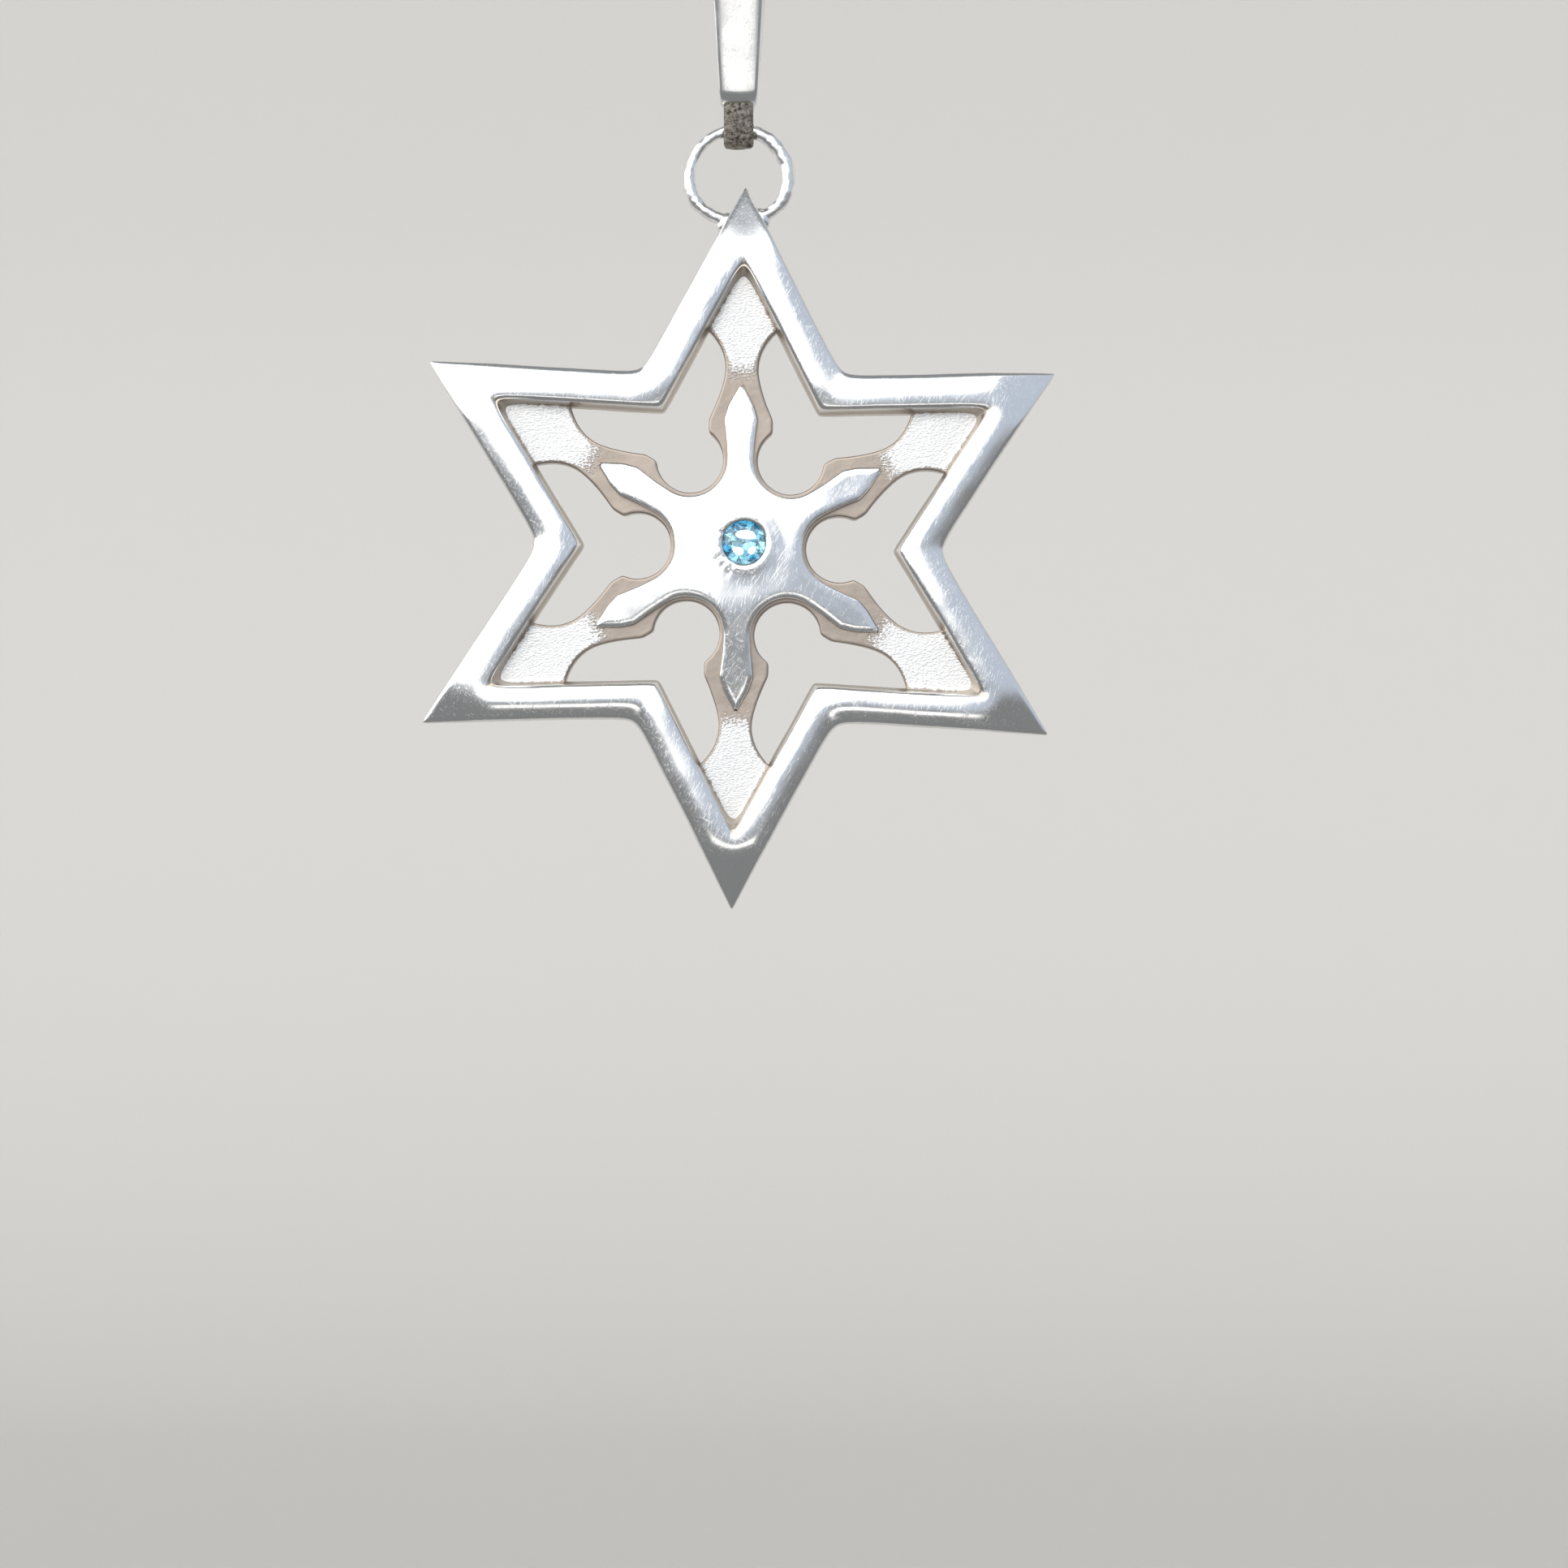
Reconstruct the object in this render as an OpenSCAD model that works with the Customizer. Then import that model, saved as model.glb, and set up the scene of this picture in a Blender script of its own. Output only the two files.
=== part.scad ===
// Star of David pendant: a cast silver star with a pierced plate, a raised inner star, a small
// round stone, a soldered jump ring and a tapered bail. Millimetres.
// Z is up and the front faces -Y. The origin is the inside top of the bail, where a chain sits.

/* [Star border] */
// Star centre to each point
point_r = 12.5; // [11.6:0.1:13.6]
// Star centre to each notch between two points
notch_r = 6.82; // [6.5:0.02:7.2]
// Width of the raised border, square to its edges
border_w = 1.28; // [1:0.02:1.5]
// Height of the border's crest over the back
crest_h = 1.5; // [1.35:0.01:1.8]
// Height of the border's outer edge over the back
outer_edge_h = 1.08; // [0.95:0.01:1.2]
// Height of the border's inner edge over the back
inner_edge_h = 1.42; // [1.3:0.01:1.48]
// Outer edge to the crest
crest_in = 0.74; // [0.6:0.01:0.8]
// How far the outer wall leans in on its way up
outer_lean = 0.16; // [0.05:0.01:0.22]
// How far the inner wall leans in on its way down
inner_lean = 0.3; // [0.15:0.01:0.36]
// Radius of the star's points
point_round = 0.12; // [0.05:0.01:0.25]
// Radius of the outer notches
notch_round = 0.62; // [0.3:0.02:1]
// Radius of the border's inner corners, inside the points
inner_corner_round = 0.28; // [0.1:0.02:0.45]
// Radius of the border's inner edge at the notches
inner_notch_round = 0.25; // [0.1:0.02:0.5]
// Rounding of the back edges
back_round = 0.1; // [0.04:0.01:0.2]

/* [Pierced plate] */
// Thickness of the plate
plate_t = 0.85; // [0.6:0.01:0.95]
// Length of each tab, from the border's inner corner to where its sides leave the border
tab_l = 2.26; // [1.8:0.02:2.6]
// Width of the plate at its narrowest, between tab and arm
plate_neck_w = 1.16; // [0.9:0.02:1.4]
// Star centre to that narrowest place
plate_neck_r = 6.1; // [5.8:0.02:6.4]
// Width of the plate at the arm's shoulders
shoulder_w = 2.3; // [2:0.02:2.6]
// Star centre to the shoulders
shoulder_r = 4.3; // [4.1:0.02:4.5]
// How sharply the tab's sides curve: 2 is a parabola
side_power = 2.2; // [1.8:0.1:3]
// Radius of the round gaps between the arms
gap_round_r = 1.14; // [1:0.02:1.2]
// Star centre to the centre of each round gap
gap_centre_r = 3.46; // [3.4:0.02:3.6]

/* [Raised inner star] */
// Height of the inner star over the plate
relief_h = 0.47; // [0.3:0.01:0.6]
// Height of the side walls of the inner star over the plate
relief_wall_h = 0.22; // [0.1:0.01:0.28]
// Ledge of plate left round the inner star
ledge_w = 0.14; // [0.08:0.01:0.2]
// Width of each arm at its neck
arm_neck_w = 0.96; // [0.84:0.02:1.06]
// Star centre to the neck
arm_neck_r = 3.6; // [3.5:0.02:3.7]
// Width of each arm at its shoulders
arm_w = 1.16; // [1.06:0.02:1.2]
// Star centre to the shoulders of the arms
arm_shoulder_r = 4.42; // [4.3:0.02:4.6]
// Star centre to each arm's tip
arm_tip_r = 5.66; // [5.4:0.02:5.8]
// Share of the way to the tip where the arm's sides bend in, and its half width there as a share
tip_swell = 0.37; // [0.3:0.01:0.42]
// Width of the soft bevel along the inner star's edges
arm_bevel_w = 0.2; // [0.12:0.01:0.24]

/* [Stone] */
// Diameter of the round stone
stone_d = 1.75; // [1.6:0.01:1.84]
// Diameter of the stone's table
table_d = 1; // [0.85:0.01:1.1]
// Crown height, girdle to table
crown_h = 0.26; // [0.2:0.01:0.32]
// Pavilion depth, girdle to lowest point
pavilion_h = 0.74; // [0.6:0.01:0.8]
// Share of the crown's height where its star facets end
star_share = 0.55; // [0.4:0.05:0.7]
// Share of the pavilion's depth where its half facets end
half_share = 0.7; // [0.5:0.05:0.8]
// Thickness of the girdle
girdle_t = 0.05; // [0.03:0.01:0.08]
// Depth of the girdle's upper edge under the inner star's face
stone_sink = 0.12; // [0.1:0.01:0.2]
// How far the stone sits right of the star's centre, as seen from the front
stone_x = 0.19; // [-0.3:0.01:0.3]
// How far it sits above the star's centre
stone_y = 0.14; // [-0.3:0.01:0.3]
// Gap between the stone and its seat
seat_gap = 0.02; // [0.01:0.005:0.04]
// How far the metal lip reaches over the girdle
lip_over = 0.065; // [0.04:0.005:0.09]
// Width of the burnished rim round the stone
rim_w = 0.26; // [0.15:0.01:0.35]
// Height of the burnished rim over the inner star's face
rim_h = 0.05; // [0.02:0.01:0.08]
// Diameter of the light hole in the back
light_hole_d = 0.85; // [0.5:0.05:1]

/* [Jump ring] */
// Outer diameter of the ring
ring_d = 3.85; // [3.6:0.05:4.2]
// Thickness of its wire
wire_d = 0.45; // [0.38:0.01:0.55]
// Height of the ring's centre over the star's point
ring_over = 0.2; // [0:0.02:0.5]
// Height of the ring's plane over the star's back
ring_plane_h = 0.61; // [0.5:0.005:0.7]
// Radius of the solder beads at the point's sides
solder_r = 0.29; // [0.25:0.01:0.32]
// Lean of the star, clockwise: its ring is soldered a little to one side
lean = 1.1; // [0:0.1:2]

/* [Bail] */
// Height of the folded band
band_h = 7.35; // [6.6:0.05:8.5]
// Depth of the folded band at its top, front to back
band_depth = 3.8; // [3.4:0.05:4.2]
// Depth of the band at its foot
band_foot_depth = 1.4; // [1.2:0.05:1.6]
// Thickness of the band at its top
band_t = 0.72; // [0.6:0.02:0.85]
// Width of the band at its top
band_top_w = 2.2; // [1.9:0.05:2.6]
// Width of the band at its foot
band_foot_w = 1.3; // [1.15:0.05:1.6]
// Height of the opening for the chain
opening_h = 5; // [4.4:0.05:5.3]
// Radius at the foot of the opening
opening_foot_r = 0.2; // [0.12:0.01:0.28]

/* [End loop] */
// Width of the loop along its hole
loop_w = 1; // [0.8:0.05:1.1]
// Thickness of the loop's wall
loop_wall = 0.34; // [0.28:0.02:0.42]
// Foot of the band to the centre of the loop's hole
loop_drop = 0.73; // [0.66:0.01:0.85]
// Depth of the neck that joins the loop to the band
loop_neck_depth = 0.9; // [0.7:0.05:1.1]
// Running gap between the ring's wire and the loop
ring_gap = 0.04; // [0.03:0.005:0.06]

/* [Hidden] */

$fn = 64;
points = 6;
sector = 360 / points;
corner_steps = 5;
side_steps = 9;
gap_steps = 10;
bevel_steps = [0, 0.35, 0.7, 1];
overlap = 0.3;
through = 1;

// Half angle of a point, and half angle of a notch seen from outside
point_half = atan2(notch_r * sin(sector / 2), point_r - notch_r * cos(sector / 2));
notch_half = sector / 2 + point_half;
inner_corner_r = point_r - border_w / sin(point_half);

// Across the border's face: shares of the way from its outer edge up to the crest, and from the
// crest to its inner edge
outer_steps = [0, 0.2, 0.4, 0.7, 1];
inner_steps = [0.35, 0.7, 1];
wall_under = 0.05;

// The ring's wire bends away from the axis of the loop's hole, so the hole makes room for it
ring_r = (ring_d - wire_d) / 2;
wire_sag = ring_r - sqrt(ring_r * ring_r - loop_w * loop_w / 4);
loop_hole_r = wire_d / 2 + wire_sag / 2 + ring_gap;
loop_r = loop_hole_r + loop_wall;

// Places down the pendant from the chain's seat
band_foot_z = band_t - band_h;
loop_z = band_foot_z - loop_drop;
ring_z = loop_z + wire_sag / 2 - ring_r;
star_z = ring_z - ring_over - point_r;

face_h = plate_t + relief_h;
girdle_h = face_h - stone_sink;
lip_r = stone_d / 2 - lip_over;

// Point at radius r and clockwise angle a from straight up
function polar(r, a) = [r * sin(a), r * cos(a)];

// Arc of a star point, inset by d and rounded by q
function point_arc(a, d, q) = let(c = polar(point_r - d / sin(point_half) - q / sin(point_half), a))
    [for (i = [0:corner_steps]) c + polar(q, a + (90 - point_half) * (2 * i / corner_steps - 1))];

// Arc of a star notch, inset by d and rounded by q
function notch_arc(a, d, q) = let(c = polar(notch_r - d / sin(notch_half) + q / sin(notch_half), a))
    [for (i = [0:corner_steps]) c - polar(q, a + (90 - notch_half) * (1 - 2 * i / corner_steps))];

// Outline of the star, at share s of the way from the border's outer to its inner edge
function star_outline(s) = [for (k = [0:points - 1]) each concat(
    point_arc(k * sector, s * border_w, point_round + s * (inner_corner_round - point_round)),
    notch_arc((k + 0.5) * sector, s * border_w, notch_round + s * (inner_notch_round - notch_round)))];

function outer_rise(u) = outer_edge_h + (crest_h - outer_edge_h) * sin(90 * u);
function inner_fall(u) = inner_edge_h + (crest_h - inner_edge_h) * cos(90 * u);

// Rows of [distance from the border's outer edge, height], up its outer wall, over its face and
// down its inner wall, which runs a little way under the plate's face
border_rows = concat(
    [[back_round, 0], [0, back_round]],
    [for (u = outer_steps) [outer_lean + u * (crest_in - outer_lean), outer_rise(u)]],
    [for (u = inner_steps) [crest_in + u * (border_w - inner_lean - crest_in), inner_fall(u)]],
    [[border_w, plate_t - wall_under], [border_w, back_round], [border_w - back_round, 0]]);

// Triangles between rows i and j of m points each
function row_faces(i, j, m) = [for (k = [0:m - 1]) let(n = (k + 1) % m)
    each [[i * m + k, i * m + n, j * m + n], [i * m + k, j * m + n, j * m + k]]];

module border() {
    count = len(border_rows);
    m = len(star_outline(0));
    points_3d = [for (row = border_rows) for (p = star_outline(row[0] / border_w)) [p[0], p[1], row[1]]];
    faces = [for (i = [0:count - 1]) each row_faces(i, (i + 1) % count, m)];
    polyhedron(points_3d, faces);
}

// Half width of the plate's arms and tabs at radius r, with half width far_w at far_r
function side_w(r, far_r, far_w) =
    plate_neck_w / 2 + (far_w - plate_neck_w / 2)
        * pow(abs((r - plate_neck_r) / (far_r - plate_neck_r)), side_power);

tab_foot_r = inner_corner_r - tab_l;
tab_foot_w = tab_l * tan(point_half);
border_mid_r = point_r - border_w / 2 / sin(point_half);

// Right-hand side of an arm and its tab as [half width, radius]. It runs on past the border's inner
// edge and ends in the middle of the border.
function plate_side() = concat(
    [for (i = [0:side_steps]) let(r = shoulder_r + (plate_neck_r - shoulder_r) * i / side_steps)
        [side_w(r, shoulder_r, shoulder_w / 2), r]],
    [for (i = [1:side_steps]) let(r = plate_neck_r + (tab_foot_r + overlap - plate_neck_r) * i / side_steps)
        [side_w(r, tab_foot_r, tab_foot_w), r]],
    [[0, border_mid_r]]);

function mirrored(side) = concat(side, [for (i = [len(side) - 2:-1:0]) [-side[i][0], side[i][1]]]);

module plate_arm() {
    polygon(concat([[0, 0], [shoulder_w / 2, shoulder_r - shoulder_w / 2]],
        mirrored(plate_side()), [[-shoulder_w / 2, shoulder_r - shoulder_w / 2]]));
}

module plate() {
    linear_extrude(plate_t) difference() {
        union() {
            circle(gap_centre_r);
            for (k = [0:points - 1]) rotate(k * sector) plate_arm();
        }
        for (k = [0:points - 1]) rotate((k + 0.5) * sector) translate([0, gap_centre_r])
            circle(gap_round_r);
    }
}

// Place an arm's point, w to the right of its axis and r out from the centre, at clockwise angle a
function on_arm(w, r, a) = [w * cos(a) + r * sin(a), r * cos(a) - w * sin(a)];

// Half of one arm of the inner star as [half width, radius], from under the tip down to the neck
arm_half = [
    [arm_w * tip_swell, arm_shoulder_r + (arm_tip_r - arm_shoulder_r) * tip_swell],
    [arm_w / 2, arm_shoulder_r],
    [arm_neck_w / 2, arm_neck_r]];
arm_rows = len(arm_half);
gap_reach = 90 - sector / 2;

function gap_arc(a) = [for (i = [0:gap_steps])
    polar(gap_centre_r, a) - polar(gap_round_r + ledge_w, a + gap_reach * (1 - 2 * i / gap_steps))];

// Outline of the inner star: a tip, one side of its arm, a round gap and the next arm's side
inner_outline = [for (k = [0:points - 1]) each concat(
    [on_arm(0, arm_tip_r, k * sector)],
    [for (p = arm_half) on_arm(p[0], p[1], k * sector)],
    gap_arc((k + 0.5) * sector),
    [for (i = [arm_rows - 1:-1:0]) on_arm(-arm_half[i][0], arm_half[i][1], (k + 1) * sector)])];

// Right-hand normal of the step from p to q, which points into a clockwise outline
function inward(p, q) = let(e = (q - p) / norm(q - p)) [e[1], -e[0]];

function inset(path, d) = let(m = len(path)) [for (i = [0:m - 1])
    let(n1 = inward(path[(i + m - 1) % m], path[i]), n2 = inward(path[i], path[(i + 1) % m]))
    path[i] + d * (n1 + n2) / (1 + n1 * n2)];

// The inner star's outline is numbered from base on, with as many points in each sector
sector_points = len(inner_outline) / points;
function sector_start(base, k) = base + (k % points) * sector_points;

// Strips down arm k, between its right side from a on and its left side back from b
function arm_cap(base, k) = let(
        a = sector_start(base, k),
        b = sector_start(base, k + points - 1) + sector_points)
    concat([[a, a + 1, b - 1]],
        [for (i = [1:arm_rows]) each [[b - i, a + i, a + i + 1], [b - i, a + i + 1, b - i - 1]]]);

// Fan from the centre point over the hub, as far as the foot of the next arm
function hub_cap(base, centre, k) = let(
        a = sector_start(base, k) + arm_rows + 1,
        next = sector_start(base, k + 1) + arm_rows + 1)
    concat([for (i = [0:gap_steps - 1]) [centre, a + i, a + i + 1]], [[centre, a + gap_steps, next]]);
function cap_faces(base, centre) =
    [for (k = [0:points - 1]) each concat(arm_cap(base, k), hub_cap(base, centre, k))];
function reversed(faces) = [for (f = faces) [f[2], f[1], f[0]]];

// Rows of [inset, height] up the inner star's edge
inner_rows = concat([[0, plate_t - overlap]],
    [for (u = bevel_steps) [arm_bevel_w * (1 - cos(90 * u)),
        plate_t + relief_wall_h + (relief_h - relief_wall_h) * sin(90 * u)]]);

module inner_star() {
    m = len(inner_outline);
    count = len(inner_rows);
    points_3d = concat(
        [for (row = inner_rows) for (p = inset(inner_outline, row[0])) [p[0], p[1], row[1]]],
        [[0, 0, inner_rows[0][1]], [0, 0, face_h]]);
    polyhedron(points_3d, concat(
        reversed(cap_faces(0, m * count)),
        [for (i = [0:count - 2]) each row_faces(i, i + 1, m)],
        cap_faces(m * (count - 1), m * count + 1)));
}

// Burnished rim round the stone
module stone_rim() {
    rotate_extrude() polygon([
        [lip_r, face_h - overlap], [lip_r, face_h + rim_h / 2], [lip_r + rim_w / 4, face_h + rim_h],
        [lip_r + rim_w / 2, face_h + rim_h], [lip_r + rim_w, face_h], [lip_r + rim_w, face_h - overlap]]);
}

// Space that the stone and its light hole take out of the star
module stone_seat() {
    crown_tan = 2 * crown_h / (stone_d - table_d);
    pavilion_tan = 2 * pavilion_h / stone_d;
    seat_r = stone_d / 2 + seat_gap;
    seat_h = girdle_h - girdle_t;
    hole_r = light_hole_d / 2;
    rotate_extrude() polygon([
        [0, -through], [hole_r, -through], [hole_r, seat_h - (seat_r - hole_r) * pavilion_tan],
        [seat_r, seat_h], [seat_r, girdle_h], [lip_r, girdle_h + (seat_r - lip_r) * crown_tan],
        [lip_r, crest_h + through], [0, crest_h + through]]);
}

module jump_ring() {
    translate([0, point_r + ring_over, ring_plane_h]) rotate_extrude()
        translate([ring_r, 0]) circle(d = wire_d);
}

// Where the ring's wire crosses the point's edge on side s, as seen in the upright star
ring_at = (point_r + ring_over) * [-sin(lean), cos(lean)];
function solder_at(s) = let(v = [0, point_r] - ring_at, u = [s * sin(point_half), -cos(point_half)])
    [0, point_r] + u * (sqrt(pow(v * u, 2) - v * v + ring_r * ring_r) - v * u);

// The beads' poles lie inside the wire
module solder() {
    for (s = [-1, 1]) translate([solder_at(s)[0], solder_at(s)[1], ring_plane_h])
        rotate([0, 90, 0]) sphere(solder_r);
}

// Stands a piece that is drawn flat, face up, in its place with the face to the front
module stand() {
    translate([0, ring_plane_h, star_z]) rotate([90, 0, 0]) children();
}

module star() {
    stand() difference() {
        union() {
            rotate(-lean) {
                color("silver") border();
                color("gainsboro") plate();
                color("silver") inner_star();
                color("white") translate([stone_x, stone_y]) stone_rim();
            }
            color("silver") {
                jump_ring();
                rotate(-lean) solder();
            }
        }
        rotate(-lean) translate([stone_x, stone_y]) stone_seat();
    }
}

// Ring of n points of the stone at radius r and height h, turned by a
function stone_ring(n, r, h, a) = [for (i = [0:n - 1])
    let(t = a + i * 360 / n) [r * cos(t), r * sin(t), h]];

// Round brilliant: a table, stars, kites and halves over a girdle, then mains and halves down to a point
module brilliant() {
    mains = 8;
    turn = 180 / mains;
    girdle_r = stone_d / 2;
    star_h = crown_h * star_share;
    star_r = (girdle_r - (girdle_r - table_d / 2) * star_share) / cos(turn);
    half_r = girdle_r * (1 - half_share) / cos(turn);
    corners = concat(
        stone_ring(mains, table_d / 2, crown_h, 0), stone_ring(mains, star_r, star_h, turn),
        stone_ring(2 * mains, girdle_r, 0, 0), stone_ring(2 * mains, girdle_r, -girdle_t, 0),
        stone_ring(mains, half_r, -girdle_t - pavilion_h * half_share, turn),
        [[0, 0, -girdle_t - pavilion_h]]);
    star_i = mains;
    top_i = 2 * mains;
    low_i = 4 * mains;
    half_i = 6 * mains;
    tip_i = 7 * mains;
    faces = concat([[for (i = [mains - 1:-1:0]) i]], [for (i = [0:mains - 1])
        let(n = (i + 1) % mains, g = 2 * i, h = 2 * i + 1, j = 2 * n) each [
            [i, n, star_i + i], [i, star_i + i, top_i + g], [n, top_i + j, star_i + i],
            [star_i + i, top_i + h, top_i + g], [star_i + i, top_i + j, top_i + h],
            [top_i + g, top_i + h, low_i + h], [top_i + g, low_i + h, low_i + g],
            [top_i + h, top_i + j, low_i + j], [top_i + h, low_i + j, low_i + h],
            [low_i + g, low_i + h, half_i + i], [low_i + h, low_i + j, half_i + i],
            [low_i + g, half_i + i, tip_i], [low_i + j, tip_i, half_i + i]]]);
    polyhedron(corners, faces);
}

module stone() {
    color("deepskyblue") stand() rotate(-lean) translate([stone_x, stone_y, girdle_h]) brilliant();
}

// Side view of the band, filled: a round top and a round foot, with straight legs that touch both
module belt(top_r, foot_r, drop) {
    tilt = asin((top_r - foot_r) / drop);
    leg = [cos(tilt), -sin(tilt)];
    circle(top_r);
    translate([0, -drop]) circle(foot_r);
    polygon([top_r * leg, [0, -drop] + foot_r * leg,
        [-foot_r * leg[0], foot_r * leg[1] - drop], [-top_r * leg[0], top_r * leg[1]]]);
}

module band() {
    top_r = band_depth / 2;
    foot_r = band_foot_depth / 2;
    centre_z = band_t - top_r;
    intersection() {
        rotate([90, 0, 90]) linear_extrude(2 * band_top_w, center = true)
                translate([0, centre_z]) difference() {
            belt(top_r, foot_r, centre_z - band_foot_z - foot_r);
            belt(top_r - band_t, opening_foot_r, centre_z + opening_h - opening_foot_r);
        }
        rotate([90, 0, 0]) linear_extrude(2 * band_depth, center = true) polygon([
            [-band_foot_w / 2, band_foot_z], [band_foot_w / 2, band_foot_z],
            [band_top_w / 2, band_t], [-band_top_w / 2, band_t]]);
    }
}

module end_loop() {
    translate([0, 0, loop_z]) rotate([0, 90, 0]) cylinder(r = loop_r, h = loop_w, center = true);
    translate([-loop_w / 2, -loop_neck_depth / 2, loop_z])
        cube([loop_w, loop_neck_depth, loop_drop + overlap]);
}

module bail() {
    difference() {
        union() {
            color("silver") band();
            color("darkgray") end_loop();
        }
        translate([0, 0, loop_z]) rotate([0, 90, 0])
            cylinder(r = loop_hole_r, h = loop_w + through, center = true);
    }
}

star();
stone();
bail();
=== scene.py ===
# Star of David pendant: a pierced silver star with a small blue stone, on its jump ring and bail.
# Sizes are in millimetres and are scaled to metres as each piece is placed.
import math

import bmesh
import bpy
import numpy as np
from mathutils import Matrix, Vector, noise


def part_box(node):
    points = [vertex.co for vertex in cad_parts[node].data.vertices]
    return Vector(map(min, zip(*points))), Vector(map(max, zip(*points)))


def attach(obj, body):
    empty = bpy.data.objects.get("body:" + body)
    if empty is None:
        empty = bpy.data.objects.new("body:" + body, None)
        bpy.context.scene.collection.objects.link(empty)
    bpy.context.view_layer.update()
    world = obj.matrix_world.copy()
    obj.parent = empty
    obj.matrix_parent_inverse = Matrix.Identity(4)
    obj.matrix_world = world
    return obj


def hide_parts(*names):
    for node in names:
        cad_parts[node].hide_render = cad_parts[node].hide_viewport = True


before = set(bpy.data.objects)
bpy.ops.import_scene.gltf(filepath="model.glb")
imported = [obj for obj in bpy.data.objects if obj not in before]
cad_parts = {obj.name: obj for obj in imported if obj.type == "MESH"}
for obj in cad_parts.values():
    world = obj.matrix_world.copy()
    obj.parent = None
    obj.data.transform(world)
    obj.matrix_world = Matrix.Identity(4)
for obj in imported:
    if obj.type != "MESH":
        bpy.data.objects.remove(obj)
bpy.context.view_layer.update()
print("frame loaded:", ", ".join(sorted(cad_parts)))

mm = 0.001
weld = 0.002  # points of the star that meet lie closer than this
fineWeld = 0.0005
tiny = 1e-6
starLow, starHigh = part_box("star")

starForm = {
    "points": 6,
    "pointRadius": 12.5,
    "notchRadius": 6.82,
    "reach": 12.357,  # from the centre down to the rounded tip of the lowest point, as it hangs
    "lean": 1.1,  # degrees clockwise
}
sectorAngle = 2 * math.pi / starForm["points"]
notchAxis = np.array([math.sin(sectorAngle / 2), math.cos(sectorAngle / 2)])
pointHalf = math.atan2(starForm["notchRadius"] * notchAxis[0],
                       starForm["pointRadius"] - starForm["notchRadius"] * notchAxis[1])
notchHalf = pointHalf + sectorAngle / 2

starBack = starHigh.y / mm
starCentre = starLow.z / mm + starForm["reach"]


# Helpers that every piece uses

def smoothStep(low, high, x):
    t = np.clip((np.asarray(x, float) - low) / (high - low), 0, 1)
    return t * t * (3 - 2 * t)


def turned(points, angle):
    # clockwise by angle, about the star's centre
    c, s = math.cos(angle), math.sin(angle)
    flat = np.column_stack([points[:, 0] * c + points[:, 1] * s, points[:, 1] * c - points[:, 0] * s])
    return np.column_stack([flat, points[:, 2:]])


def spreadEvenly(path, spacing):
    # the same open path with points at an even spacing
    path = np.asarray(path, float)
    steps = np.linalg.norm(np.diff(path, axis=0), axis=1)
    along = np.concatenate([[0], np.cumsum(steps)])
    at = np.linspace(0, along[-1], max(2, round(along[-1] / spacing) + 1))
    return np.column_stack([np.interp(at, along, path[:, i]) for i in range(path.shape[1])])


def softened(path, passes, closed=False):
    # rounds the corners of an evenly spread path
    path = np.array(path, float)
    for _ in range(passes):
        if closed:
            path = (np.roll(path, 1, 0) + 2 * path + np.roll(path, -1, 0)) / 4
        else:
            path[1:-1] = (path[:-2] + 2 * path[1:-1] + path[2:]) / 4
    return path


def distanceTo(path, points):
    # shortest way from each flat point to an open path
    nearest = np.full(len(points), np.inf)
    for a, b in zip(path[:-1], path[1:]):
        step = b - a
        t = np.clip(((points - a) @ step) / max(step @ step, 1e-12), 0, 1)
        nearest = np.minimum(nearest, np.linalg.norm(points - a - t[:, None] * step, axis=1))
    return nearest


def inSector(points):
    # how far each point is across and out along the nearest arm, with the sides folded together
    radius = np.hypot(points[:, 0], points[:, 1])
    angle = np.arctan2(points[:, 0], points[:, 1])
    away = angle - np.round(angle / sectorAngle) * sectorAngle
    return np.column_stack([np.abs(radius * np.sin(away)), radius * np.cos(away)])


def makeMesh(name, points, faces):
    mesh = bpy.data.meshes.new(name)
    mesh.from_pydata([tuple(p) for p in points], [], [tuple(int(i) for i in f) for f in faces])
    mesh.update()
    return mesh


def makeObject(name, mesh):
    piece = bpy.data.objects.new(name, mesh)
    bpy.context.scene.collection.objects.link(piece)
    return piece


def gridFaces(rows, columns, closedRows=False, closedColumns=False):
    faces = []
    for i in range(rows if closedRows else rows - 1):
        for j in range(columns if closedColumns else columns - 1):
            i2, j2 = (i + 1) % rows, (j + 1) % columns
            faces.append((i * columns + j, i * columns + j2, i2 * columns + j2, i2 * columns + j))
    return faces


def closeUp(mesh, distance):
    # merges what meets, drops what has no area, turns every face outwards and counts open edges
    shape = bmesh.new()
    shape.from_mesh(mesh)
    bmesh.ops.remove_doubles(shape, verts=shape.verts, dist=distance)
    bmesh.ops.dissolve_degenerate(shape, edges=shape.edges, dist=distance / 10)
    bmesh.ops.recalc_face_normals(shape, faces=shape.faces)
    for face in shape.faces:
        face.smooth = True
    openEdges = sum(1 for e in shape.edges if len(e.link_faces) != 2)
    shape.to_mesh(mesh)
    shape.free()
    mesh.update()
    print(f"{mesh.name}: {len(mesh.vertices)} points, {openEdges} open edges")


def setAttribute(mesh, name, values):
    mesh.attributes.new(name, "FLOAT", "POINT").data.foreach_set("value", np.asarray(values, np.float32))


def standUp(mesh, lean=starForm["lean"]):
    # from the flat drawing, face up, to the hanging star with its face to the front
    place = Matrix.Translation((0, starBack * mm, starCentre * mm)) @ Matrix.Rotation(math.pi / 2, 4, "X")
    mesh.transform(place @ Matrix.Rotation(-math.radians(lean), 4, "Z") @ Matrix.Scale(mm, 4))
    mesh.update()


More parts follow.
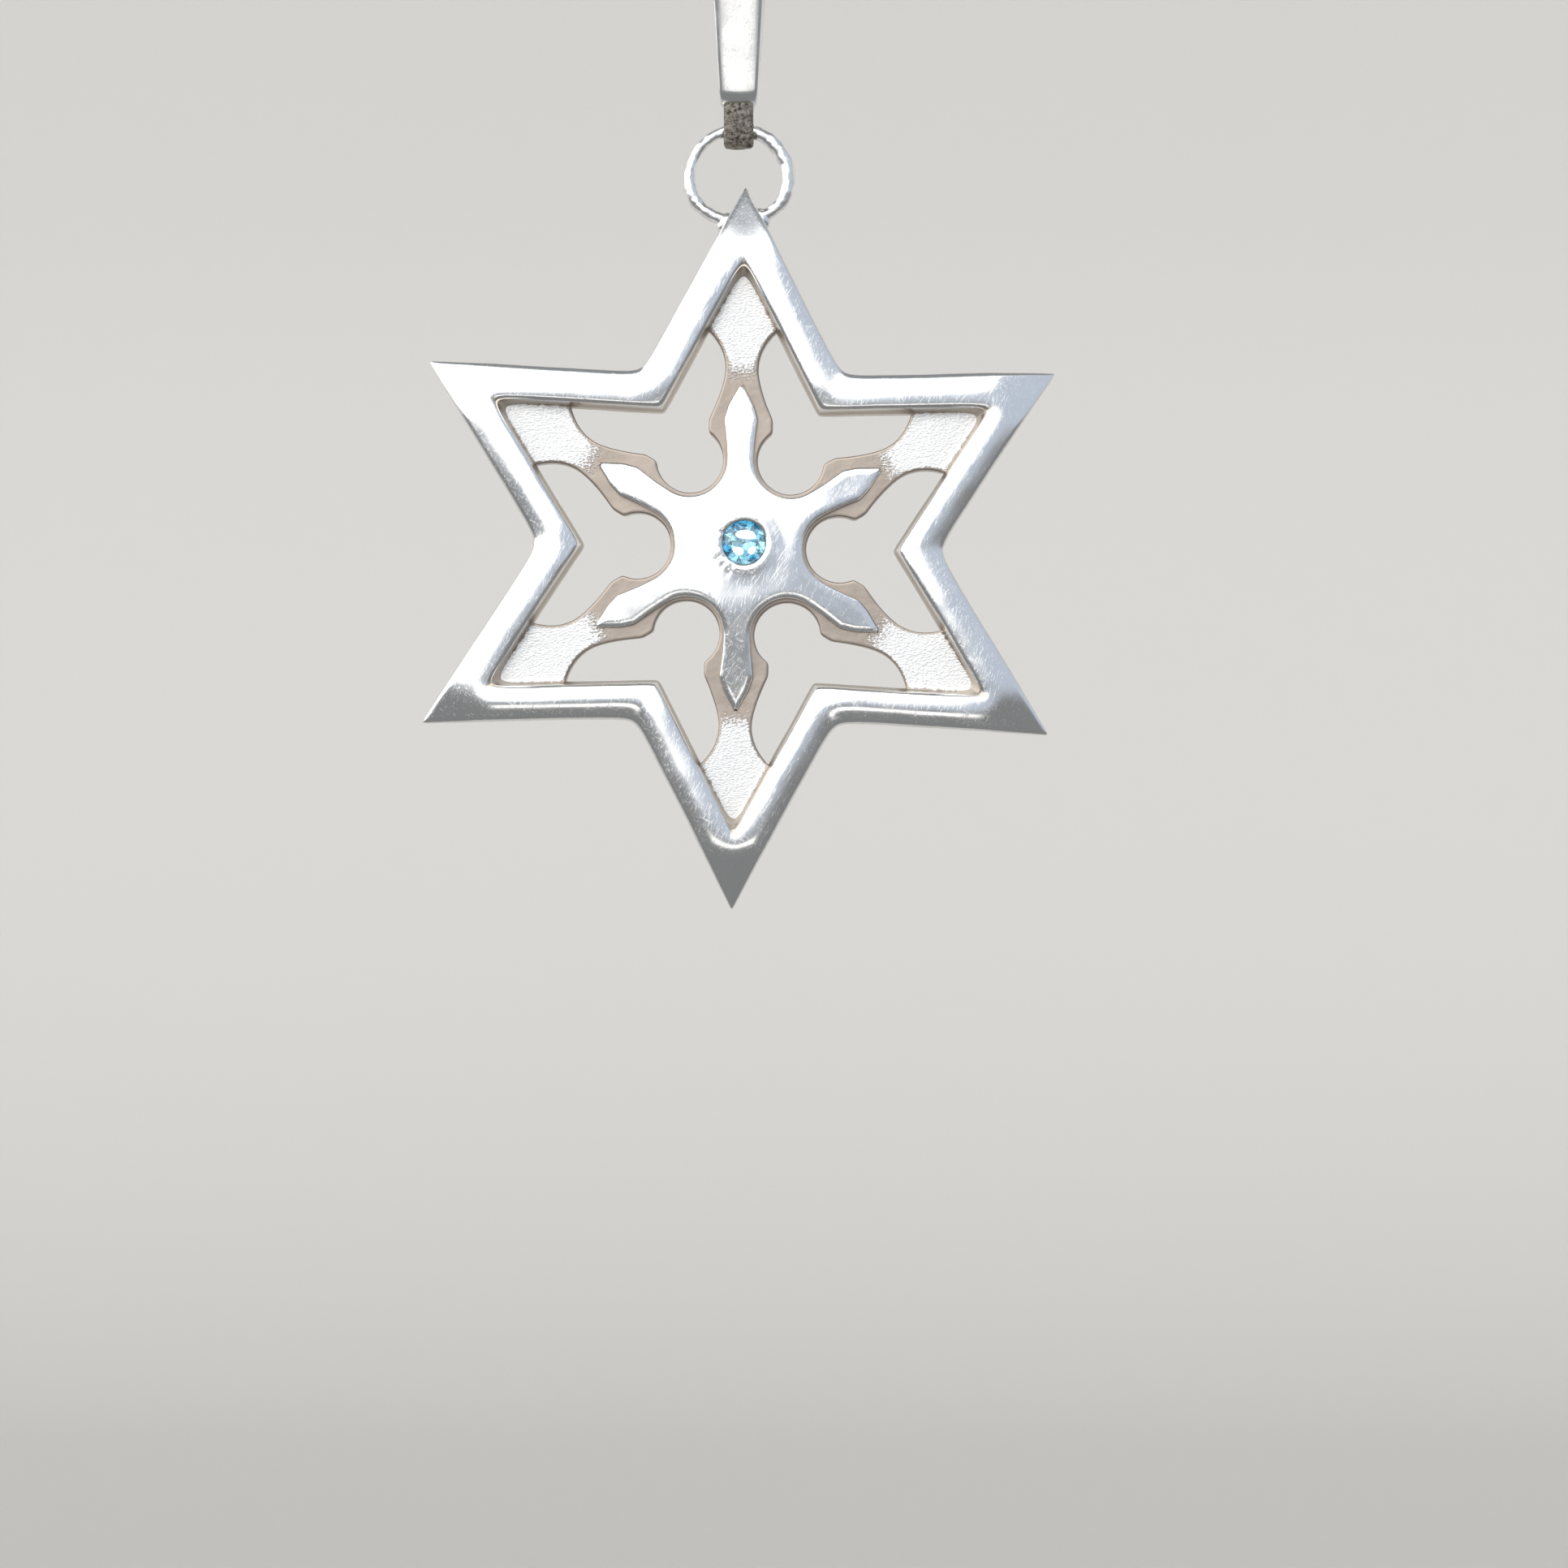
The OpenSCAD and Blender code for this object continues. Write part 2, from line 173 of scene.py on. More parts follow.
def meshOf(name, piece):
    # the modifiers' result as a plain mesh
    graph = bpy.context.evaluated_depsgraph_get()
    mesh = bpy.data.meshes.new_from_object(piece.evaluated_get(graph))
    mesh.name = name
    bpy.data.objects.remove(piece)
    return mesh


def placePiece(name, mesh, material, body, slot, *nodes):
    mesh.materials.clear()
    mesh.materials.append(material)
    piece = makeObject(name, mesh)
    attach(piece, body)
    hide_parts(*nodes)
    print(f"{name} rides on {body}: {len(mesh.polygons)} faces")


# Materials

def newMaterial(name):
    material = bpy.data.materials.new(name)
    material.use_nodes = True
    return material, material.node_tree, material.node_tree.nodes["Principled BSDF"]


def inMillimetres(tree, turn=0, stretch=(1, 1, 1)):
    # Object coordinates in millimetres, turned about the front-to-back axis and then stretched
    where = tree.nodes.new("ShaderNodeTexCoord")
    mapping = tree.nodes.new("ShaderNodeMapping")
    mapping.vector_type = "TEXTURE"
    mapping.inputs["Rotation"].default_value[1] = math.radians(turn)
    mapping.inputs["Scale"].default_value = [mm / s for s in stretch]
    tree.links.new(where.outputs["Object"], mapping.inputs["Vector"])
    return mapping.outputs["Vector"]


def addNoise(tree, space, scale, detail=3.0, roughness=0.5):
    grain = tree.nodes.new("ShaderNodeTexNoise")
    grain.inputs["Scale"].default_value = scale
    grain.inputs["Detail"].default_value = detail
    grain.inputs["Roughness"].default_value = roughness
    tree.links.new(space, grain.inputs["Vector"])
    return grain.outputs["Fac"]


def addRange(tree, value, fromLow, fromHigh, toLow=0, toHigh=1, smooth=False):
    span = tree.nodes.new("ShaderNodeMapRange")
    span.interpolation_type = "SMOOTHSTEP" if smooth else "LINEAR"
    ends = {"From Min": fromLow, "From Max": fromHigh, "To Min": toLow, "To Max": toHigh}
    for name, number in ends.items():
        span.inputs[name].default_value = number
    tree.links.new(value, span.inputs["Value"])
    return span.outputs["Result"]


def addMath(tree, operation, a, b):
    step = tree.nodes.new("ShaderNodeMath")
    step.operation = operation
    for socket, value in zip(step.inputs, (a, b)):
        if isinstance(value, (int, float)):
            socket.default_value = value
        else:
            tree.links.new(value, socket)
    return step.outputs["Value"]


def addMix(tree, share, a, b):
    mix = tree.nodes.new("ShaderNodeMix")
    mix.data_type = "RGBA"
    colours = [socket for socket in mix.inputs if socket.type == "RGBA"]
    tree.links.new(share, mix.inputs[0])
    for socket, value in zip(colours, (a, b)):
        if isinstance(value, tuple):
            socket.default_value = (*value, 1)
        else:
            tree.links.new(value, socket)
    return next(socket for socket in mix.outputs if socket.type == "RGBA")


def addBump(tree, height, depth, below=None):
    bump = tree.nodes.new("ShaderNodeBump")
    bump.inputs["Distance"].default_value = depth * mm
    tree.links.new(height, bump.inputs["Height"])
    if below is not None:
        tree.links.new(below, bump.inputs["Normal"])
    return bump.outputs["Normal"]


def addAttribute(tree, name):
    attribute = tree.nodes.new("ShaderNodeAttribute")
    attribute.attribute_name = name
    return attribute.outputs["Fac"]


noiseSpan = (0.3, 0.7)  # most of a noise's values lie in here

polish = {
    "colour": (0.95, 0.945, 0.93),
    "rough": (0.09, 0.18),
    "cloudScale": 0.9,  # of the clouds between those two
    # painted shade and a painted warm reflection for the walls of the relief, mixed in by the wall mask
    "recessShade": (0.54, 0.48, 0.41),
    "recessRough": 0.15,  # added in the recesses
    "swellScale": 0.7,  # of the unevenness that hand polishing leaves
    # turn in degrees, fineness across and along, and the noise value where a scratch starts
    "scratches": ((35, 22, 1.1, 0.62), (-62, 26, 1.6, 0.64), (12, 40, 2.2, 0.6)),
    "scratchEdge": 0.1,
    "scratchDepth": 0.001,
    "scratchRough": 0.12,
}
polishes = {
    # share of the scratches, depth of the swell, and roughness added to the polish
    "polishedSilver": (1.0, 0.012, 0.0),
    "wireSilver": (0.5, 0.02, 0.1),
    "satinSilver": (0.4, 0.006, 0.06),
}


def addScratches(tree, turn, across, along, start):
    # long thin lines out of a stretched noise
    space = inMillimetres(tree, turn, (across, across, along))
    lines = addNoise(tree, space, scale=1.0, detail=2.0, roughness=0.6)
    return addRange(tree, lines, start, start + polish["scratchEdge"])


def makePolishedSilver(name):
    brushed, swell, satin = polishes[name]
    low, high = polish["rough"]
    material, tree, shader = newMaterial(name)
    plain = inMillimetres(tree)
    marks = 0.0
    for scratches in polish["scratches"]:
        marks = addMath(tree, "ADD", marks, addScratches(tree, *scratches))
    marks = addMath(tree, "MULTIPLY", marks, brushed)
    recessShade = addAttribute(tree, "recessShade")
    clouds = addNoise(tree, plain, polish["cloudScale"])
    rough = addRange(tree, clouds, *noiseSpan, low + satin, high + satin)
    rough = addMath(tree, "ADD", rough, addMath(tree, "MULTIPLY", marks, polish["scratchRough"]))
    rough = addMath(tree, "ADD", rough, addMath(tree, "MULTIPLY", recessShade, polish["recessRough"]))
    soft = addBump(tree, addNoise(tree, plain, polish["swellScale"], 1), swell)
    # mixes painted shade and a painted warm reflection into the colour of the walls
    colour = addMix(tree, recessShade, polish["colour"], polish["recessShade"])
    tree.links.new(colour, shader.inputs["Base Color"])
    tree.links.new(rough, shader.inputs["Roughness"])
    tree.links.new(addBump(tree, marks, polish["scratchDepth"], soft), shader.inputs["Normal"])
    shader.inputs["Metallic"].default_value = 1
    return material


blast = {
    "bright": (0.98, 0.975, 0.965),
    # the smooth ledges' dull warm brown is painted shade and a painted warm reflection, not the silver's own
    # colour
    "smooth": (0.42, 0.36, 0.31),
    "pitch": 0.062,
    "fineAcross": 0.6,
    "depth": 0.025,
    "ragged": 0.25,  # how far the grain's edge wanders
    "edge": (0.35, 0.65),
    "swell": (2.5, 0.01),  # scale and depth
    "rough": (0.34, 0.5),  # smooth and grained
    "metallic": (1.0, 0.7),
}


def makeBlastedSilver():
    # matte grain on the tabs; where the grain attribute falls to 0, smooth metal painted a dull warm brown as
    # painted shade and a painted warm reflection; and a clean back
    material, tree, shader = newMaterial("blastedSilver")
    coarse = addNoise(tree, inMillimetres(tree, 0, (blast["fineAcross"], 1, 1)), 1 / blast["pitch"], 1)
    ragged = addRange(tree, coarse, *noiseSpan, -blast["ragged"], blast["ragged"])
    cover = addRange(tree, addMath(tree, "ADD", addAttribute(tree, "grain"), ragged), *blast["edge"])
    swellScale, swellDepth = blast["swell"]
    soft = addBump(tree, addNoise(tree, inMillimetres(tree), swellScale, 2), swellDepth)
    pits = addMath(tree, "MULTIPLY", coarse, cover)
    # away from the grain the face takes the painted shade colour
    face = addMix(tree, cover, blast["smooth"], blast["bright"])
    colour = addMix(tree, addAttribute(tree, "back"), face, polish["colour"])
    tree.links.new(colour, shader.inputs["Base Color"])
    tree.links.new(addRange(tree, cover, 0, 1, *blast["rough"]), shader.inputs["Roughness"])
    tree.links.new(addRange(tree, cover, 0, 1, *blast["metallic"]), shader.inputs["Metallic"])
    tree.links.new(addBump(tree, pits, blast["depth"], soft), shader.inputs["Normal"])
    return material


castFinish = {
    "dark": (0.06, 0.052, 0.042),
    "light": (0.46, 0.42, 0.36),
    "shade": (0.4, 0.58),  # heights that are dark and light
    "depth": 0.12,
    "layers": ((0.6, 7, 4, 0.65), (0.4, 24, 3, 0.7)),  # each noise's share, scale, detail and roughness
    "roughSpan": (0.35, 0.65),
    "rough": (0.5, 0.25),  # in the hollows and on top
}


def makeCastSilver():
    # rough metal as it left the mould, darker in its hollows
    material, tree, shader = newMaterial("castSilver")
    plain = inMillimetres(tree)
    height = 0.0
    for share, *kind in castFinish["layers"]:
        layer = addMath(tree, "MULTIPLY", addNoise(tree, plain, *kind), share)
        height = addMath(tree, "ADD", height, layer)
    shade = addRange(tree, height, *castFinish["shade"])
    rough = addRange(tree, height, *castFinish["roughSpan"], *castFinish["rough"])
    colour = addMix(tree, shade, castFinish["dark"], castFinish["light"])
    tree.links.new(colour, shader.inputs["Base Color"])
    tree.links.new(rough, shader.inputs["Roughness"])
    tree.links.new(addBump(tree, height, castFinish["depth"]), shader.inputs["Normal"])
    shader.inputs["Metallic"].default_value = 1
    return material


gem = {
    # pale cyan clouds among deep blue: partly the stone's own uneven tone, partly a painted highlight
    # standing in for the facets' bright reflections
    "colour": (0.5, 0.92, 1.0),
    "deep": (0.01, 0.25, 0.54),
    "cloudScale": 1.6,  # of the clouds between the two
    "clouds": (0.4, 0.6),
    "clear": 0.9,
    "index": 1.8,
}


def makeBlueStone():
    material, tree, shader = newMaterial("blueStone")
    clouds = addNoise(tree, inMillimetres(tree), gem["cloudScale"], 2)
    tint = addMix(tree, addRange(tree, clouds, *gem["clouds"]), gem["colour"], gem["deep"])
    tree.links.new(tint, shader.inputs["Base Color"])
    shader.inputs["Roughness"].default_value = 0
    shader.inputs["IOR"].default_value = gem["index"]
    shader.inputs["Transmission Weight"].default_value = gem["clear"]
    return material


polishedSilver = makePolishedSilver("polishedSilver")
wireSilver = makePolishedSilver("wireSilver")
satinSilver = makePolishedSilver("satinSilver")
blastedSilver = makeBlastedSilver()
castSilver = makeCastSilver()
blueStone = makeBlueStone()
print("materials made")


# Geometry Nodes trees

def newTree(name, sockets):
    # a tree with these inputs and one geometry output, and its inputs' identifiers
    tree = bpy.data.node_groups.new(name, "GeometryNodeTree")
    names = {}
    for label, kind in sockets:
        socket = tree.interface.new_socket(name=label, in_out="INPUT", socket_type="NodeSocket" + kind)
        names[label] = socket.identifier
    tree.interface.new_socket(name="Result", in_out="OUTPUT", socket_type="NodeSocketGeometry")
    return tree, names


def treeNode(tree, kind, operation=None, **values):
    node = tree.nodes.new(kind)
    if operation:
        node.operation = operation
    for name, value in values.items():
        socket = node.inputs[int(name[5:])] if name.startswith("input") else node.inputs[name]
        if isinstance(value, bpy.types.NodeSocket):
            tree.links.new(value, socket)
        else:
            socket.default_value = value
    return node


def wander(tree, scale, amount, along=None):
    # an offset from a smooth noise: any way, or only along a direction
    cloud = treeNode(tree, "ShaderNodeTexNoise", Scale=scale, Detail=1.0)
    if along is None:
        middle = treeNode(tree, "ShaderNodeVectorMath", "SUBTRACT", input0=cloud.outputs["Color"],
                          input1=(0.5, 0.5, 0.5))
        moved = treeNode(tree, "ShaderNodeVectorMath", "SCALE", input0=middle.outputs[0], Scale=amount)
        return moved.outputs[0]
    middle = treeNode(tree, "ShaderNodeMath", "SUBTRACT", input0=cloud.outputs["Fac"], input1=0.5)
    size = treeNode(tree, "ShaderNodeMath", "MULTIPLY", input0=middle.outputs[0], input1=amount)
    moved = treeNode(tree, "ShaderNodeVectorMath", "SCALE", input0=along, Scale=size.outputs[0])
    return moved.outputs[0]


def finishTree(tree, shape, finish):
    real = treeNode(tree, "GeometryNodeRealizeInstances", Geometry=shape)
    paint = treeNode(tree, "GeometryNodeSetMaterial", Geometry=real.outputs[0], Material=finish)
    tree.links.new(paint.outputs[0], tree.nodes.new("NodeGroupOutput").inputs[0])


def makeSectorTree():
    # one sector repeated round the star, joined with a middle piece and left slightly uneven
    tree, names = newTree("sixfoldStar", (
        ("Sector", "Geometry"), ("Middle", "Object"), ("Count", "Int"),
        ("Waver", "Float"), ("Waver Scale", "Float"), ("Finish", "Material")))
    given = tree.nodes.new("NodeGroupInput").outputs
    spots = treeNode(tree, "GeometryNodePoints", Count=given["Count"])
    number = tree.nodes.new("GeometryNodeInputIndex")
    share = treeNode(tree, "ShaderNodeMath", "DIVIDE", input0=number.outputs[0], input1=given["Count"])
    angle = treeNode(tree, "ShaderNodeMath", "MULTIPLY", input0=share.outputs[0], input1=-2 * math.pi)
    turn = treeNode(tree, "ShaderNodeCombineXYZ", Z=angle.outputs[0])
    copies = treeNode(tree, "GeometryNodeInstanceOnPoints", Points=spots.outputs[0], Instance=given["Sector"],
                      Rotation=turn.outputs[0])
    real = treeNode(tree, "GeometryNodeRealizeInstances", Geometry=copies.outputs[0])
    middle = treeNode(tree, "GeometryNodeObjectInfo", Object=given["Middle"])
    both = tree.nodes.new("GeometryNodeJoinGeometry")
    tree.links.new(real.outputs[0], both.inputs[0])
    tree.links.new(middle.outputs["Geometry"], both.inputs[0])
    merged = treeNode(tree, "GeometryNodeMergeByDistance", Geometry=both.outputs[0], Distance=weld)
    moved = treeNode(tree, "GeometryNodeSetPosition", Geometry=merged.outputs[0],
                     Offset=wander(tree, given["Waver Scale"], given["Waver"]))
    finishTree(tree, moved.outputs[0], given["Finish"])
    return tree, names


sectorTree, sectorInputs = makeSectorTree()


def repeatSector(name, sector, form, material, middle=None):
    seed = makeObject(name + "Sector", makeMesh(name + "Sector", *sector))
    collar = makeObject(name + "Middle", makeMesh(name + "Middle", *middle)) if middle else None
    modifier = seed.modifiers.new("sixfoldStar", "NODES")
    modifier.node_group = sectorTree
    modifier[sectorInputs["Middle"]] = collar
    modifier[sectorInputs["Count"]] = starForm["points"]
    modifier[sectorInputs["Waver"]] = form["waver"]
    modifier[sectorInputs["Waver Scale"]] = form["waverScale"]
    modifier[sectorInputs["Finish"]] = material
    mesh = meshOf(name, seed)
    if collar:
        bpy.data.objects.remove(collar)
    closeUp(mesh, weld)
    return mesh


# Raised border

border = {
    "width": 1.28,
    "backRound": 0.1,
    "innerEdge": 1.14,  # in from the outer edge, where the inner wall starts
    "wallFoot": 0.8,
    "crest": (0.7, 1.5),  # in from the outer edge, height over the back
    "outerBend": 0.8,  # slope that the face gains for each millimetre out from its crest
    "sideSlope": 0.32,  # the slope at which that bend ends
    "tipCut": (10.65, 0.5, 0.2),  # where each tip's facet starts, its slope and how softly it starts
    "innerBend": 0.4,
    "outerRound": 0.15,
    "innerRound": 0.07,
    "mound": 0.16,  # radius of the crest's turn round the inner corners
    "nose": (0.05, 0.6),  # share of the height polished off at the notches, and how far it reaches
    "rowSpacing": 0.04,
    "rounding": 2,
    "roundSteps": 8,
    "faceSteps": 24,
    "columns": 46,  # from a point to a notch
    "gather": 0.6,  # how much the columns gather at both ends
    "pointRound": (0.035, 0.22),  # at the outer and the inner edge
    "notchRound": (0.32, 0.08),
    "roundFade": 4,  # how fast the rounding fades away from a point or a notch
    "recessIn": (0.01, 0.08),  # the inner wall's painted shade builds up between these, in from its edge
    "recessUp": (0.02, 0.12),  # and between these, up from the back
    "waver": 0.05,
    "waverScale": 0.45,
}


def fromBorderWall(folded):
    # how far inside the border's inner wall each folded point lies
    fromPoint = starForm["pointRadius"] - folded[:, 1]
    return fromPoint * math.sin(pointHalf) - folded[:, 0] * math.cos(pointHalf) - border["width"]


def borderFace(out):
    # height of the face, by the distance out from the top of the inner wall
    b = border
    crestIn, crestUp = b["crest"]
    past = out - (b["innerEdge"] - crestIn)
    bent = b["sideSlope"] / b["outerBend"]
    near, far = np.clip(past, 0, bent), np.maximum(past - bent, 0)
    drop = b["outerBend"] * near ** 2 / 2 + b["sideSlope"] * far
    return crestUp - drop - b["innerBend"] * np.minimum(past, 0) ** 2 / 2


def borderSection():
    # distance in and height, up the outer wall, over the face, down the inner wall and along the back
    b = border
    outer, inner, edge = b["outerRound"], b["innerRound"], b["innerEdge"]
    quarter = np.linspace(0, math.pi / 2, b["roundSteps"])
    rise = [(outer * (1 - math.cos(a)), -outer * (1 - math.sin(a))) for a in quarter]
    fall = [(edge - inner + inner * math.sin(a), -inner * (1 - math.cos(a))) for a in quarter[:-1]]
    over = rise + [(d, 0) for d in np.linspace(outer, edge - inner, b["faceSteps"])[1:-1]] + fall
    loop = [(b["backRound"], 0), (0, b["backRound"])]
    loop += [(d, float(borderFace(edge - d)) + h) for d, h in over]
    loop += [(b["width"], b["wallFoot"]), (b["width"], b["backRound"])]
    loop += [(b["width"] - b["backRound"], 0), (b["backRound"], 0)]
    return softened(spreadEvenly(loop, b["rowSpacing"])[:-1], b["rounding"], closed=True)


def borderLine(d, steps):
    # the star's outline, inset by d, from the middle of a point to the middle of a notch
    share = np.clip(d / border["width"], 0, 1)
    fade = border["roundFade"]
    tip = np.array([0, starForm["pointRadius"] - d / math.sin(pointHalf)])
    notch = (starForm["notchRadius"] - d / math.sin(notchHalf)) * notchAxis
    line = tip + steps[:, None] * (notch - tip)
    side = line[:, 0].copy()
    fromNotch = np.abs(line[:, 0] * notchAxis[1] - line[:, 1] * notchAxis[0])
    pointRound = np.interp(share, (0, 1), border["pointRound"])
    notchRound = np.interp(share, (0, 1), border["notchRound"])
    line[:, 1] -= (1 - steps ** fade) * (np.hypot(side, pointRound) - side) / math.tan(pointHalf)
    blunt = (1 - (1 - steps) ** fade) * (np.hypot(fromNotch, notchRound) - fromNotch) / math.tan(notchHalf)
    return line + blunt[:, None] * notchAxis


def fromWall(line, out):
    # each point's distance from the top of the inner wall, measured round the turn of an inner corner
    radius = border["mound"]
    middleOut = starForm["pointRadius"] - (border["innerEdge"] + radius) / math.sin(pointHalf)
    away = line - (0, middleOut)
    straight = np.minimum(away @ (math.cos(pointHalf), math.sin(pointHalf)), out + radius)
    along = away @ (math.sin(pointHalf), -math.cos(pointHalf))
    return np.where(along < 0, np.linalg.norm(away, axis=1), straight) - radius


def cutTip(face, outward):
    # the lower of the face and the tip's facet, with a rounded edge between them
    start, slope, soft = border["tipCut"]
    facet = border["crest"][1] - slope * (outward - start)
    return (face + facet) / 2 - np.hypot((face - facet) / 2, soft)


def makeBorder():
    b = border
    steps = np.linspace(0, 1, b["columns"])
    steps = b["gather"] * (0.5 - 0.5 * np.cos(math.pi * steps)) + (1 - b["gather"]) * steps
    innerNotch = (starForm["notchRadius"] - b["innerEdge"] / math.sin(notchHalf)) * notchAxis
    noseShare, noseReach = b["nose"]
    rows = []
    for d, h in borderSection():
        line = borderLine(d, steps)
        height = np.full(len(line), h)
        if d < b["innerEdge"]:
            out = b["innerEdge"] - d
            height *= cutTip(borderFace(fromWall(line, out)), line[:, 1]) / borderFace(out)
        fromNose = np.linalg.norm(line - innerNotch, axis=1) / noseReach
        rows.append(np.column_stack([line, height * (1 - noseShare * np.exp(-fromNose ** 2))]))
    rows = np.array(rows)
    full = np.concatenate([rows[:, :0:-1] * (-1, 1, 1), rows], axis=1)
    sector = full.reshape(-1, 3), gridFaces(*full.shape[:2], closedRows=True)
    mesh = repeatSector("starBorder", sector, b, polishedSilver)
    points = np.array([v.co for v in mesh.vertices])
    inward = fromBorderWall(inSector(points)) + b["width"]
    # painted shade and a painted warm reflection on the inner wall, none on the face or along the back
    low, high = b["recessIn"]
    wall = smoothStep(b["innerEdge"] + low, b["innerEdge"] + high, inward)
    setAttribute(mesh, "recessShade", wall * smoothStep(*b["recessUp"], points[:, 2]))
    standUp(mesh)
    placePiece("starBorder", mesh, polishedSilver, "star", "silver", "star")


makeBorder()


# Plate and inner star: closed slabs, each from one sector and a collar round the stone's hole

stoneSpot = np.array([0.19, 0.14])  # the stone sits a little off the centre
gapOut = 3.46  # from the centre to the middle of each round gap
gapSteps = 40
gapCentre = gapOut * notchAxis


def gapEdge(radius, topWidth):
    # left half of the round gap between two arms, from its innermost point up to half width topWidth
    end = math.pi - math.asin((gapCentre[0] - topWidth) / radius)
    angles = np.linspace(sectorAngle / 2, end, gapSteps)
    return [gapCentre - radius * np.array([math.sin(a), math.cos(a)]) for a in angles]


def slabSector(side, form, topHeight):
    # rows from the middle of the hub out along one arm, each a ring round the slab
    tangent = np.gradient(side, axis=0)
    tangent /= np.linalg.norm(tangent, axis=1)[:, None]
    inward = np.column_stack([-tangent[:, 1], tangent[:, 0]])
    inward[0] = -notchAxis
    inward[-1] = (0, -1)
    room = (side[:, 0] - form["core"]) / np.maximum(-inward[:, 0], tiny)
    room[inward[:, 0] >= -tiny] = np.inf

    def inset(d):
        return side + inward * np.minimum(d, room)[:, None]

    across = np.linspace(1, -1, form["columns"])
    right = [inset(d) for d in form["insets"]]  # from the inside out to the edge
    lowEdge = inset(form["backRound"])
    ring = [right[0] * (s, 1) for s in across[::-1]] + right[1:]
    heights = [topHeight(p) for p in ring]
    foot = form["low"] + form["backRound"]
    wall = [foot + (heights[-1] - foot) * share for share in form["walls"]]
    ring += [side] * len(wall) + [lowEdge * (s, 1) for s in across]
    ring += [side * (-1, 1)] * len(wall) + [p * (-1, 1) for p in reversed(right[1:])]
    heights += wall + [np.full(len(side), form["low"])] * len(across)
    heights += wall[::-1] + [topHeight(p) for p in reversed(right[1:])]
    rows = np.stack([np.column_stack([p, h]) for p, h in zip(ring, heights)], axis=1)
    count, around = rows.shape[:2]
    faces = gridFaces(count, around, closedColumns=True)
    faces.append(tuple((count - 1) * around + j for j in range(around)))
    n = form["columns"]
    lowStart = n + len(right) - 1 + len(wall)
    return (rows.reshape(-1, 3), faces), rows[0][:n], rows[0][lowStart:lowStart + n][::-1]


def collar(topRow, lowRow, form, topHeight):
    # from the hub's edge on top, down through the stone's hole and back out underneath
    def allRound(row):
        return np.vstack([turned(row, k * sectorAngle)[:-1] for k in range(starForm["points"])])

    outerTop = allRound(topRow)
    direction = outerTop[:, :2] - stoneSpot
    direction /= np.linalg.norm(direction, axis=1)[:, None]

    def hole(radius, height):
        return np.column_stack([stoneSpot + direction * radius, np.full(len(direction), height)])

    holes = [hole(*ring) for ring in form["hole"]]
    loops = [outerTop]
    for s in np.linspace(0, 1, form["collarSteps"] + 1)[1:-1]:
        flat = outerTop[:, :2] * (1 - s) + holes[0][:, :2] * s
        loops.append(np.column_stack([flat, topHeight(flat)]))
    loops = np.array(loops + holes + [allRound(lowRow)])
    return loops.reshape(-1, 3), gridFaces(*loops.shape[:2], closedColumns=True)


plate = {
    "thick": 0.85,
    "gapRadius": 1.14,
    "shoulder": (1.1, 4.4),  # half width, distance out
    "neck": (0.56, 6.1),
    "bend": (1.5, 2.2),  # how late the side turns outwards, inside and outside the neck
    "bendSteps": (24, 30),
    "neckGap": 0.04,  # share of the inner bend left out next to the neck
    "tabLength": 2.26,
    "tabRun": 1.22,  # share of the tab's length that its side runs to, under the border
    "tabEnd": (0.25, 0.9),  # half width of its end, and how far that is past the border's inner corner
    "low": 0.02,  # the border's back stands a little proud
    "backRound": 0.05,
    "insets": (0.1, 0.04, 0.012, 0.0),
    "core": 0.02,  # half width that the insets always leave
    "walls": (0.97, 0.5, 0.0),
    "edgeRound": 0.04,
    "columns": 25,
    "rowSpacing": 0.07,
    "fillet": (0.12, 0.06),  # width and rise at the foot of the border's wall
    "plainFoot": 0.08,  # width without grain along that wall
    "grainDepth": 0.06,  # below the face, down to which there is grain
    "backShade": (0.04, 0.12),  # heights between which the back's clean colour ends
    "hole": ((0.54, 0.85), (0.425, 0.753), (0.425, 0.05), (0.455, 0.02)),  # radius and height of each ring
    "collarSteps": 4,
    "waver": 0.05,
    "waverScale": 0.45,
}
innerCornerRadius = starForm["pointRadius"] - border["width"] / math.sin(pointHalf)
tabs = {
    # where the grain starts and is full, out from the centre, and its plain margin at the sides
    "top": (5.4, 6.7, 0.1),
    "upperRight": (5.2, 6.5, 0.08),
    "lowerRight": (5.0, 6.3, 0.07),
    "bottom": (5.4, 6.5, 0.08),
    "lowerLeft": (5.0, 6.2, 0.08),
    "upperLeft": (5.3, 6.6, 0.08),
}


def plateSide():
    # right-hand edge of one arm and its tab, from the round gap to the middle of the border
    (shoulderHalf, shoulderOut), (neckHalf, neckOut) = plate["shoulder"], plate["neck"]
    footOut = innerCornerRadius - plate["tabLength"]
    footHalf = plate["tabLength"] * math.tan(pointHalf)
    (innerBend, outerBend), (innerSteps, outerSteps) = plate["bend"], plate["bendSteps"]
    endHalf, endPast = plate["tabEnd"]
    path = gapEdge(plate["gapRadius"], shoulderHalf)
    for farHalf, farOut, shares, bend in (
        (shoulderHalf, shoulderOut, np.linspace(1, plate["neckGap"], innerSteps), innerBend),
        (footHalf, footOut, np.linspace(0, plate["tabRun"], outerSteps), outerBend),
    ):
        for u in shares:
            half = neckHalf + (farHalf - neckHalf) * u ** bend
            path.append(np.array([half, neckOut + (farOut - neckOut) * u]))
    path.append(np.array([endHalf, innerCornerRadius + endPast]))
    return softened(spreadEvenly(path, plate["rowSpacing"]), 2)


